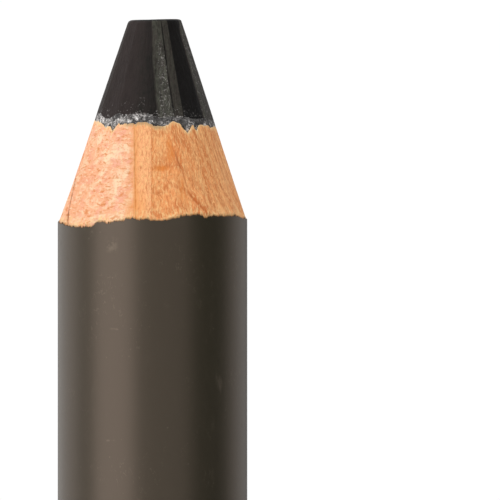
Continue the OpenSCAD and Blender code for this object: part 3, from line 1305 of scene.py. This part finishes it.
@dataclass(frozen=True)
class CorePiece(Piece):
    """The pigment core, sharpened and worn flat at the tip.

    Attributes:
        columns: Points round the core.
        cut_len: Height from the tip down to the end of the core's cut, about.
        split: Angle at the tip of the crack beside the rough olive band, in degrees from the front.
        split_drift: Degrees that the crack moves to the right from the tip to the end of the cut.
        dark_from: Angle at the tip where the dark band begins.
        wander: Field by which the bands' sides wander.
        jag: Field that makes the crack jagged.
        scrapes: Field of the fine scrape marks.
        finish: Its finish.
    """

    columns: int = 520
    cut_len: float = 5.8
    split: float = 15.0
    split_drift: float = 5.5
    dark_from: float = 28.8
    wander: Field = Field(71, 40, 0.9, 3)
    jag: Field = Field(76, 60, 0.3, 2)
    scrapes: Field = Field(5, 210, 0.7, 2)
    finish: Finish = Pigment()

    def down(self, height: np.ndarray) -> np.ndarray:
        """How far down the cut a height lies: 0 at the tip and 1 at the end of the cut."""
        return (self.end.overall_len - height) / self.cut_len

    def rim(self, x: np.ndarray, y: np.ndarray, z: np.ndarray) -> np.ndarray:
        """How dark the worn tip's rim is: most in front, and only just under the worn face.

        Args:
            x: Places to the right, in millimetres.
            y: Places to the back.
            z: Heights.

        Returns:
            The darkness, from 0 to 0.75.
        """
        right_of = x - self.end.tip_x
        under = self.end.overall_len + right_of * tan(self.end.tip_slope) - z
        outer = rise(np.hypot(right_of, y), self.end.tip_r - 0.5, self.end.tip_r - 0.2)
        in_front = rise(np.abs(self.turn(x, y) + 5), 55, 30)
        return 0.75 * rise(under, 0.13, 0.05) * outer * in_front

    def turn(self, x: np.ndarray, y: np.ndarray) -> np.ndarray:
        """Angle from the front, in degrees, seen from between the core's own axis and the barrel's."""
        return np.degrees(bearing(x - self.sizes.core_shift * 0.7, y))

    def marks(self, points: np.ndarray) -> dict[str, np.ndarray]:
        """Where the core is rough and olive, with painted highlights at two edges, where painted shade
        darkens its left, where it is dark and specked, and how high it is over the glue's dust.

        Each band runs down the cone between two angles that shift with height and wander a little. Behind,
        the bands come again, 170 degrees round.

        Args:
            points: The core's points.

        Returns:
            The named values.
        """
        x, y, z = points[..., 0], points[..., 1], points[..., 2]
        turn, down = self.turn(x, y), self.down(z)
        angle = np.where(np.abs(turn) < 92, turn, apart(turn, 170))
        wander, jag = self.wander.at(turn, z), self.jag.at(turn, z)
        split = angle - self.split - self.split_drift * down
        scraped = rise(angle + 5 - 9 * down - 1.2 * wander, -2.0, 2.0) * rise(split, 0.6, -0.9)
        bar = rise(split, 0.1, 1.6) * rise(angle - 2 * down, 29.2, 28.2)
        border = angle - 57 - 8 * rise(down, 0.16, 0.0) + 0.8 * wander
        dark = rise(angle - 2 * down, 28.4, 29.6) * rise(border, 1.0, -2.0)
        crack = np.exp(-((split - 0.7 * wander - 0.7 * jag) / 1.0) ** 2) * rise(down, 1.05, 0.9)
        crack = crack * np.clip(0.8 + 0.8 * wander, 0.25, 1)
        seam = 0.6 * np.exp(-((angle - 2 * down - self.dark_from) / 0.7) ** 2)
        # Painted shade on the core's left side, stronger lower down: one part goes into the dark mark, the
        # other darkens towards an olive black.
        left = angle - 9 * down
        shade = 0.35 * rise(left, -22, -8) * rise(left, -5, -6)
        dull = (0.35 + 0.5 * down) * rise(left, -38, -12) * rise(left, -3, -6)
        specked = rise(np.abs(split + 6.5), 8.5, 3.0) * rise(down, 0.15, 0.4) * rise(split, 1.0, -0.5)
        right = rise(border, -1.0, 2.0) * rise(angle, 86, 72)
        # Painted highlights: the right band is lightened next to the dark band, and so is the core's left
        # outline.
        edge = right * rise(border, 11.0, 4.0) + 0.5 * rise(angle, -58, -72)
        streak = 0.7 * np.exp(-((angle - 6.8 - 0.5 * wander) / 0.7) ** 2) * rise(down, 0.55, 0.65)
        scraped = (0.7 + 0.16 * rise(down, 0.45, 0.7)) * scraped + 0.48 * bar + 0.36 * right + 0.25 * edge
        return {
            "scraped": np.clip(scraped, 0, 1),
            "dull": np.clip(dull, 0, 1),
            "dark": np.clip(0.9 * dark + 0.95 * crack + seam + shade + self.rim(x, y, z), 0, 1),
            "specked": np.clip(0.5 * specked + 0.35 * right + streak, 0, 1),
            "over_line": z - self.end.base_z - self.end.smear.at(turn),
        }

    def build(self) -> bpy.types.Object:
        """Builds the core.

        Rows run from the middle of the bottom out to the wall, up to the cut, and in over the cone and the
        worn face to the middle of the tip. Over the top a point's height is the lower of cut and worn face.
        The cut has fine scrape marks, a crack, and a step down to the dark band.

        Returns:
            The piece.
        """
        s, end = self.sizes, self.end
        angle, tip_x = whole_turn(self.columns), end.tip_x
        grid = Grid()
        x, y = round_rows(np.array([0.0, s.core_r]), s.core_shift, angle)
        grid.add(x, y, s.floor_z, 0.0, 0.02)
        rim_x, rim_y = round_rows(np.array([s.core_r]), s.core_shift, angle)
        ring = end.cut(rim_x, rim_y)
        grid.add(np.repeat(rim_x, 3, 0), np.repeat(rim_y, 3, 0),
                 ring + np.array([-60.0, -4.0, -0.6])[:, None], 0.02, 0.06)
        radius = np.concatenate([
            np.linspace(s.core_r, end.tip_r + 0.12, 104, endpoint=False),
            np.linspace(end.tip_r + 0.12, end.tip_r - 0.3, 22, endpoint=False),
            np.linspace(end.tip_r - 0.3, 0, 12),
        ])
        centre = tip_x + (s.core_shift - tip_x) * rise(radius, end.tip_r, s.core_r)
        x, y = round_rows(radius, centre, angle)
        turn, height = np.degrees(angle)[None, :], end.cut(x, y)
        inside = rise(radius, s.core_r, s.core_r - 0.15) * rise(radius, end.tip_r - 0.1, end.tip_r + 0.3)
        down = self.down(height)
        crack = np.exp(-(apart(turn - self.split_drift * down, self.split) ** 2))
        step = rise(apart(turn, self.dark_from) - 2 * down, -1.0, 1.0)
        step = step * rise(apart(turn, 61) + 14 * down, 3, -3)
        scrape = 0.006 + 0.012 * rise(np.abs(apart(turn, 12)), 20, 8)
        scrape = scrape * self.scrapes.at(turn, height)
        relief = end.steep * inside[:, None] * (scrape - 0.05 * crack - 0.03 * step)
        top = np.minimum(height + relief, end.worn(x, y))
        grid.add(x, y, top, 0.06, 1.0)
        skin = grid.closed(Closing.TURNED, self.marks(grid.points))
        return self.place(skin.piece("pigment_core", self.finish.material(), 40.0), "core", "pigment")


@dataclass(frozen=True)
class RingPiece(Piece):
    """The film of glue between the core and the wood, crumbly where the blade cut it.

    Attributes:
        columns: Points round the ring.
        crumbs: Field of the crumbs on the cut.
        lumps: Field of the coarser lumps there.
        pits: Field of the pits in the outer wall, which the tears lay bare.
        finish: Its finish.
    """

    columns: int = 840
    crumbs: Field = Field(11, 150, 0.3, 2)
    lumps: Field = Field(12, 70, 0.6)
    pits: Field = Field(13, 260, 0.2)
    finish: Finish = Glue()

    def build(self) -> bpy.types.Object:
        """Builds the ring: up its inner wall, out over the cut with its crumbs, and down its outer wall.

        On top a point is as high as the cut less 0.04 mm, plus 0.03 mm times the sum of the crumbs' field
        and 0.7 times the lumps'. The outer wall is set in by 0.012 mm times one plus the pits' field.

        Returns:
            The piece.
        """
        s, end = self.sizes, self.end
        angle = whole_turn(self.columns)
        share = np.linspace(0, 1, 22)[:, None]
        radius = s.core_r + (s.groove_r - end.inset.at(np.degrees(angle)) - s.core_r) * share
        x, y = round_rows(radius, s.core_shift, angle)
        turn, cut = np.degrees(angle)[None, :], end.cut(x, y)
        crumbs = self.crumbs.at(turn, cut) + 0.7 * self.lumps.at(turn, cut)
        top = cut + 0.03 * crumbs - 0.04
        inner, outer = top[:1], top[-1:]
        grid = Grid()
        floor = np.full_like(inner, s.floor_z)
        for height, start in ((floor, 0.0), (inner - 1.0, 0.03), (inner - 0.2, 0.06)):
            grid.add(x[:1], y[:1], height, start, start + 0.03)
        grid.add(x, y, top, 0.1, 0.7)
        for drop, start in ((0.06, 0.7), (0.12, 0.73), (0.2, 0.76), (0.3, 0.8), (0.45, 0.84), (0.7, 0.9)):
            pit = 0.012 * (1 + self.pits.at(turn, outer - drop))
            right, back = x[-1:] - pit * np.sin(angle), y[-1:] + pit * np.cos(angle)
            grid.add(right, back, outer - drop, start, start + 0.03)
        grid.add(x[-1:], y[-1:], s.floor_z, 0.96, 1.0)
        x, y, z = np.moveaxis(grid.points, -1, 0)
        way = bearing(x - s.core_shift, y)
        line = end.base_z + end.smear.at(np.degrees(way))
        marks = {"over_line": z - line, "over_wood": z - end.torn(way)}
        skin = grid.closed(Closing.HOOP, marks)
        return self.place(skin.piece("glue_ring", self.finish.material(), 75.0), "core_bond", "bond")


class Side(Enum):
    """Side of the joint that a slat lies on."""

    LEFT = "left"
    RIGHT = "right"


@dataclass(frozen=True)
class Stroke:
    """A line or spot on the sharpened wood, as an ellipse in angle and height that can lean.

    Attributes:
        angle: Angle of its middle from the front, in degrees.
        height: Height of its middle in millimetres.
        half_width: Half its width in degrees.
        half_height: Half its height in millimetres.
        lean: Degrees that it moves to the right for each millimetre down.
        strength: How strong it is in the middle.
    """

    angle: float
    height: float
    half_width: float
    half_height: float
    lean: float = 0.0
    strength: float = 1.0

    def at(self, angle: np.ndarray, height: np.ndarray) -> np.ndarray:
        """Strength at each point.

        It is the strength in the middle times the exponential of minus the square of the way across, as a
        share of half the width, and minus the fourth power of the way up, as a share of half the height.

        Args:
            angle: Angle from the front in degrees.
            height: Height in millimetres.

        Returns:
            The strength.
        """
        up = height - self.height
        across = apart(angle, self.angle) + self.lean * up
        return self.strength * np.exp(-((across / self.half_width) ** 2) - (up / self.half_height) ** 4)


# Splits and knots where the photograph shows them, and a few on the far side

LEFT_SPLITS = (
    Stroke(-70.4, 114.1, 1.0, 1.5, lean=5.2), Stroke(197, 114.2, 0.8, 0.8, lean=-3.0, strength=0.7),
)
RIGHT_SPLITS = (
    Stroke(20.1, 116.5, 0.7, 0.55, lean=3.6, strength=0.8),
    Stroke(23.4, 115.7, 0.8, 0.9, lean=2.2, strength=0.45),
    Stroke(30.5, 113.9, 1.1, 0.75, lean=8.5, strength=0.85),
    Stroke(150, 114.6, 0.8, 1.1, lean=-4.0, strength=0.6),
)
RIGHT_KNOTS = (
    Stroke(7.5, 115.95, 6.5, 0.17, strength=0.8), Stroke(14, 116.6, 2.5, 0.3, strength=0.4),
    Stroke(15.5, 117.2, 2, 0.5, strength=0.6), Stroke(22, 114.6, 3, 0.7, strength=0.4),
    Stroke(120, 115.2, 6, 0.3), Stroke(155, 113.9, 5, 0.4, strength=0.6),
)


@dataclass(frozen=True)
class SlatPiece(Piece):
    """A slat of wood between the seam, the groove and the lacquer.

    Attributes:
        side: The side of the seam that it lies on.
        finish: Its finish.
        columns: Points from one seam face round to the other.
        splits: Thin splits in the wood.
        knots: Knots and stains.
        mean_r: Radius at which the way round, which the patterns follow, is true to size.
        warp: Field by which the knots' outlines wander.
        fibres: Field of the raised fibres.
        pores: Field of the pores between them.
        fray: Field of the fine fray at the torn edge.
        nicks: Field of the broader nicks there.
    """

    side: Side
    finish: Finish
    columns: int
    splits: tuple[Stroke, ...] = ()
    knots: tuple[Stroke, ...] = ()
    mean_r: float = 4.6
    warp: Field = Field(31, 60, 0.5, 2)
    fibres: Field = Field(21, 330, 1.3, 2)
    pores: Field = Field(22, 120, 0.25)
    fray: Field = Field(23, 300, 9.0, 2)
    nicks: Field = Field(24, 80, 9.0)

    def angles(self, radius: np.ndarray, centre: np.ndarray) -> np.ndarray:
        """Angles of each row's points, whose ends lie on the seam.

        A row meets the seam where the sine of the angle is the seam's distance from the row's middle over
        its radius, once in front and once behind.

        Args:
            radius: Radius of each row.
            centre: Middle of each row.

        Returns:
            Angles in radians, for each row and column.
        """
        share = np.linspace(0, 1, self.columns)[None, :]
        if self.side is Side.RIGHT:
            edge = np.arcsin((self.sizes.seam_high - centre) / radius)[:, None]
            return edge + (pi - 2 * edge) * share
        edge = np.arcsin((self.sizes.seam_low - centre) / radius)[:, None]
        return pi - edge + (pi + 2 * edge) * share

    def marks(self, points: np.ndarray) -> dict[str, np.ndarray]:
        """Way round the pencil, height over the lacquer, depth under the torn edge, splits and knots.

        Args:
            points: The slat's points.

        Returns:
            The named values.
        """
        s, end = self.sizes, self.end
        x, y, z = points[..., 0], points[..., 1], points[..., 2]
        turn = np.degrees(bearing(x, y))
        middle = 90 if self.side is Side.RIGHT else -90
        warp = 1.5 * self.warp.at(turn, z)
        nothing = np.zeros_like(z)
        return {
            "around": self.mean_r * np.radians(middle + apart(turn, middle)),
            "over_coat": z - end.painted(turn),
            "under_edge": end.torn(bearing(x - s.core_shift, y)) - z,
            "split": np.clip(sum((stroke.at(turn, z) for stroke in self.splits), nothing), 0, 1),
            "knot": np.clip(sum((spot.at(turn + warp, z) for spot in self.knots), nothing), 0, 1),
        }

    def build(self) -> bpy.types.Object:
        """Builds the slat: up the groove, out over the cut, down under the lacquer, and in at the tail.

        On top a point's height is the lower of two: the cut with its fibres, pores and splits, and the
        torn edge with its fray and nicks.

        Returns:
            The piece.
        """
        s, end = self.sizes, self.end
        share = np.concatenate([np.linspace(0, 0.2, 34, endpoint=False), np.linspace(0.2, 1, 92)])
        radius = s.groove_r + (s.wood_r - s.groove_r) * share
        centre = s.core_shift * (1 - share)
        angle = self.angles(radius, centre)
        radius = radius[:, None] - (1 - share[:, None]) * end.inset.at(np.degrees(angle))
        x, y = round_rows(radius, centre, angle)
        turn, cut = np.degrees(angle), end.cut(x, y)
        fibres = 0.010 * self.fibres.at(turn, cut) + 0.004 * self.pores.at(turn, cut)
        split = sum((stroke.at(turn, cut) for stroke in self.splits), np.zeros_like(cut))
        fray = 0.05 * self.fray.at(turn, 1.0) + 0.05 * self.nicks.at(turn, 1.0)
        soft = rise(share, 0.0, 0.04)[:, None] * rise(share, 1.0, 0.97)[:, None]
        relief = end.steep * soft * (fibres - 0.012 - 0.04 * split)
        top = np.minimum(cut + relief, end.torn(angle) + fray)
        grid = Grid()
        grid.add(x[:1], y[:1], np.full_like(top[:1], s.floor_z), 0.0, 0.02)
        for drop, start in ((2.0, 0.02), (0.4, 0.04)):
            grid.add(x[:1], y[:1], top[:1] - drop, start, start + 0.02)
        grid.add(x, y, top, 0.06, 0.88)
        for drop, start in ((0.1, 0.88), (0.2, 0.89), (0.35, 0.9), (0.6, 0.92), (6.0, 0.94)):
            grid.add(x[-1:], y[-1:], top[-1:] - drop, start, start + 0.01)
        grid.add(x[-1:], y[-1:], s.tail_z(s.wood_r), 0.96, 0.97)
        foot = np.array([s.foot_r])
        foot_x, foot_y = round_rows(foot, 0.0, self.angles(foot, np.zeros(1)))
        grid.add(foot_x, foot_y, s.floor_z, 0.98, 1.0)
        skin = grid.closed(Closing.SLAB, self.marks(grid.points))
        slot = "pale_wood" if self.side is Side.LEFT else "tan_wood"
        name = self.side.value
        return self.place(skin.piece(f"{name}_slat", self.finish.material()), f"slat_{name}", slot)


class Place(Enum):
    """Where one of the two films in the joint lies."""

    FRONT = "front"
    BACK = "back"


@dataclass(frozen=True)
class JointPiece(Piece):
    """The film of glue in the joint.

    Attributes:
        where: The side of the core that it lies on.
        sunk: How far its two faces and its middle lie below the cut, in millimetres of height.
        short: How far it stays below the wood's torn edge.
        finish: Its finish.
    """

    where: Place = Place.FRONT
    sunk: tuple[float, float, float] = (0.02, 0.024, 0.02)
    short: float = 0.06
    finish: Finish = SeamGlue()

    def build(self) -> bpy.types.Object:
        """Builds the film as a slab whose columns lie on its two faces and its middle.

        A point lies as far in front or behind as the root of its row's radius squared less the square of
        its way from the row's middle. Its height is the lower of two: the cut less how far it is sunk, and
        the torn edge less how far it stays short.

        Returns:
            The piece.
        """
        s, end = self.sizes, self.end
        share = np.linspace(0, 1, 90)
        radius = s.groove_r + (s.wood_r - s.groove_r) * share
        centre = s.core_shift * (1 - share)
        across = np.linspace(s.seam_low, s.seam_high, len(self.sunk))
        way = 1 if self.where is Place.FRONT else -1
        x = np.broadcast_to(across, (len(share), len(across)))
        y = -way * np.sqrt(radius[:, None] ** 2 - (x - centre[:, None]) ** 2)
        edge = end.torn(bearing(x - centre[:, None], y)) - self.short
        top = np.minimum(end.cut(x, y) - np.array(self.sunk), edge)
        grid = Grid()
        grid.add(x[:1], y[:1], s.floor_z, 0.0, 0.05)
        grid.add(x, y, top, 0.05, 0.9)
        grid.add(x[-1:], y[-1:], s.tail_z(s.wood_r), 0.9, 0.95)
        foot_y = -way * np.sqrt(s.foot_r**2 - x[:1] ** 2)
        grid.add(x[:1], foot_y, s.floor_z, 0.95, 1.0)
        name = self.where.value
        piece = grid.closed(Closing.SLAB, {}).piece(f"joint_film_{name}", self.finish.material())
        return self.place(piece, f"seam_bond_{name}", "seam_glue")


@dataclass(frozen=True)
class CoatPiece(Piece):
    """The lacquer round the barrel, with a ragged upper edge.

    Attributes:
        columns: Points round the barrel.
        finish: Its finish.
    """

    columns: int = 1400
    finish: Finish = Lacquer()

    def build(self) -> bpy.types.Object:
        """Builds the coat: up its inner wall, out over the ragged edge, and down its outer wall.

        Each column ends at the height that the painted edge has there. Down the outer wall the rows lie
        ever further apart.

        Returns:
            The piece.
        """
        s = self.sizes
        angle = whole_turn(self.columns)
        radius = np.linspace(s.wood_r, s.barrel_r, 4)
        x, y = round_rows(radius, 0.0, angle)
        top = np.repeat(self.end.painted(np.degrees(angle)[None, :]), len(radius), 0)
        grid = Grid()
        grid.add(x[:1], y[:1], s.tail_z(s.wood_r), 0.0, 0.02)
        grid.add(x[:1], y[:1], top[:1] - 1.0, 0.02, 0.04)
        grid.add(x, y, top, 0.04, 0.14)
        drops = np.concatenate([np.linspace(0.05, 0.5, 6), np.geomspace(0.8, 100, 22)])[:, None]
        outer = [np.repeat(side[-1:], len(drops), 0) for side in (x, y)]
        grid.add(*outer, top[-1:] - drops, 0.14, 0.97)
        grid.add(x[-1:], y[-1:], s.tail_z(s.barrel_r), 0.97, 1.0)
        piece = grid.closed(Closing.HOOP, {}).piece("lacquered_barrel", self.finish.material())
        return self.place(piece, "lacquer_coat", "lacquer")


@dataclass(frozen=True)
class DipPiece(Piece):
    """The dip over the tail, with a lip that waves a little.

    Attributes:
        columns: Points round the dip.
        wave: Field that the lip's height follows.
        sway: How far it follows it, in millimetres.
        lowered: How far the lip lies below the CAD model's on average.
        lip_h: Height of the lip's rounding.
        plain_to: Height up to which the wall doesn't follow the wave.
        waved_from: How far below the dip's length it begins to follow all of it.
        finish: Its finish.
    """

    columns: int = 360
    wave: Field = Field(51, 5, 9.0, 2)
    sway: float = 0.12
    lowered: float = 0.2
    lip_h: float = 0.35
    plain_to: float = 1.5
    waved_from: float = 0.8
    finish: Finish = Lacquer(name="Dipped taupe lacquer", base=from_screen(50, 44, 35), gloss=0.26)

    def build(self) -> bpy.types.Object:
        """Builds the dip as a turned cup: out under the tail, up the wall, over the lip, and back inside.

        The bend below the wall is a quarter circle, and the lip is a quarter of an ellipse. Up the wall
        more and more of the wave is added to the heights.

        Returns:
            The piece.
        """
        s = self.sizes
        angle = whole_turn(self.columns)
        thick = s.dip_r - s.barrel_r
        bend = s.tail_break + 1.5 * thick
        wave = self.sway * self.wave.at(np.degrees(angle)[None, :], 1.0) - self.lowered
        waved = s.dip_len - self.waved_from
        arc = np.radians(np.linspace(-90, 0, 12))
        lip = np.linspace(0, pi / 2, 6)
        radius = np.concatenate([
            [0.0, 3.0, s.dip_r - bend - 0.5], s.dip_r - bend + bend * np.cos(arc), [s.dip_r, s.dip_r],
            s.barrel_r + thick * np.cos(lip), [s.barrel_r, s.foot_r, 0.0],
        ])
        height = np.concatenate([
            [0.0, 0.0, 0.0], bend + bend * np.sin(arc), [self.plain_to, waved],
            s.dip_len - self.lip_h + self.lip_h * np.sin(lip),
            [s.floor_z + s.tail_break, s.floor_z, s.floor_z],
        ])[:, None]
        x, y = round_rows(radius, 0.0, angle)
        grid = Grid()
        grid.add(x, y, height + wave * rise(height, self.plain_to, waved), 0.0, 1.0)
        piece = grid.closed(Closing.TURNED, {}).piece("dipped_tail", self.finish.material(), 40.0)
        return self.place(piece, "tail_dip", "dip")


# The studio


class Rays(Enum):
    """Kinds of ray that see the plain white background, by their output on the Light Path node."""

    CAMERA = 0
    GLOSSY = 3
    TRANSMISSION = 6


@dataclass(frozen=True)
class Softbox:
    """A soft light at a great distance.

    Attributes:
        left: Azimuth of its left side in degrees. 0 is behind the camera, and it grows to the right.
        right: Azimuth of its right side.
        low: Elevation of its lower side in degrees.
        high: Elevation of its upper side.
        soft: How soft its sides are, in degrees.
        level: Light that it adds.
    """

    left: float
    right: float
    low: float
    high: float
    soft: float
    level: float


@dataclass(frozen=True)
class Studio:
    """White background, floor, lights and camera.

    Attributes:
        ambient: Light that comes from everywhere.
        white: Strength of the white background.
        boxes: The soft lights, of which some take light away.
        floor_r: Radius of the floor, in metres.
        photo_side: Side of the photograph in pixels.
        photo_scale: Its pixels for each millimetre.
        barrel_column: Its column where the barrel's axis lies.
        tip_row: Its row where the middle of the worn tip lies.
        distance: How far off the camera stands, in millimetres.
        sensor: Width of the camera's sensor, in millimetres.
        top: Height of the middle of the worn tip.
    """

    ambient: float = 0.38
    white: float = 1.02
    boxes: tuple[Softbox, ...] = (
        Softbox(-74, -22, -35, 40, 12, 1.02),
        Softbox(-162, -102, -50, 40, 22, 0.41),
        Softbox(48, 99, -40, 28, 14, -0.38),
        Softbox(99, 112, -40, 28, 16, -0.12),
        Softbox(116, 152, -50, 40, 16, 0.14),
        Softbox(156, 180, -60, 60, 16, -0.14),
        Softbox(-180, 180, 34, 130, 12, 1.0),
        Softbox(-110, -5, 40, 80, 20, 0.35),
    )
    floor_r: float = 0.35
    photo_side: float = 500.0
    photo_scale: float = 16.478
    barrel_column: float = 152.5
    tip_row: float = 20.0
    distance: float = 500.0
    sensor: float = 36.0
    top: float = 125.0

    def light(self) -> None:
        """Lights the world: an even level, plus each softbox inside its window of azimuth and elevation.

        The camera sees plain white, and so do rays that pass through a piece, and those that graze a
        surface and go on behind it.
        """
        world = bpy.data.worlds.new("Studio")
        world.use_nodes = True
        world.node_tree.nodes.clear()
        graph = Graph(world.node_tree)
        way = graph.node("ShaderNodeTexCoord", output=0)
        x, y, z = (graph.node("ShaderNodeSeparateXYZ", inputs={0: way}, output=k) for k in range(3))
        azimuth = graph.math("ARCTAN2", x, y * -1.0) * (180 / pi)
        elevation = graph.math("ARCSINE", z) * (180 / pi)
        level = self.ambient
        for box in self.boxes:
            window = graph.hump(elevation, box.low, box.high, box.soft)
            if box.right - box.left < 360:
                window = window * graph.hump(azimuth, box.left, box.right, box.soft)
            level = level + window * box.level
        seen, shine, through = (graph.node("ShaderNodeLightPath", output=rays.value) for rays in Rays)
        backdrop = graph.rise(abs(azimuth), 170, 174) * graph.rise(abs(elevation), 8, 4)
        white = graph.math("MAXIMUM", graph.math("MAXIMUM", seen, through), shine * backdrop)
        strength = white * self.white + (1.0 - white) * level
        inputs = {"Color": (1.0, 1.0, 1.0), "Strength": strength}
        background = graph.node("ShaderNodeBackground", inputs=inputs)
        graph.node("ShaderNodeOutputWorld", inputs={"Surface": background})
        bpy.context.scene.world = world

    def floor(self) -> None:
        """Lays a plain pale disc under the pencil."""
        angle = whole_turn(96)
        rim = np.stack([self.floor_r * np.cos(angle), self.floor_r * np.sin(angle), 0 * angle], axis=1)
        mesh = bpy.data.meshes.new("floor")
        mesh.from_pydata(rim.tolist(), [], [list(range(len(rim)))])
        mesh.materials.append(PaleFloor().material())
        floor = bpy.data.objects.new("floor", mesh)
        bpy.context.scene.collection.objects.link(floor)

    def camera(self) -> None:
        """Sets the camera in front, level with the middle of the photograph, and fits its view to it."""
        middle = self.photo_side / 2
        data = bpy.data.cameras.new("camera")
        data.sensor_width = self.sensor
        data.lens = self.sensor * self.distance * self.photo_scale / self.photo_side
        data.clip_start = 0.01
        camera = bpy.data.objects.new("camera", data)
        bpy.context.scene.collection.objects.link(camera)
        right = (middle - self.barrel_column) / self.photo_scale
        up = self.top - (middle - self.tip_row) / self.photo_scale
        camera.location = (right * MM, -self.distance * MM, up * MM)
        camera.rotation_euler = (pi / 2, 0.0, 0.0)
        bpy.context.scene.camera = camera

    def build(self) -> None:
        """Builds the studio."""
        self.light()
        self.floor()
        self.camera()
        bpy.context.scene.view_settings.view_transform = "Standard"


def main() -> None:
    """Builds the pencil and its studio."""
    logging.basicConfig(level=logging.INFO)
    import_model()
    sizes = Sizes.from_frame()
    end = SharpenedEnd(sizes)
    left = SlatPiece(sizes, end, Side.LEFT, PaleWood(), 300, LEFT_SPLITS)
    right = SlatPiece(sizes, end, Side.RIGHT, TanWood(), 380, RIGHT_SPLITS, RIGHT_KNOTS)
    films = [JointPiece(sizes, end, where) for where in Place]
    core, ring = CorePiece(sizes, end), RingPiece(sizes, end)
    for piece in (core, ring, left, right, *films, CoatPiece(sizes, end), DipPiece(sizes, end)):
        piece.build()
    Studio().build()


if __name__ == "__main__":
    main()
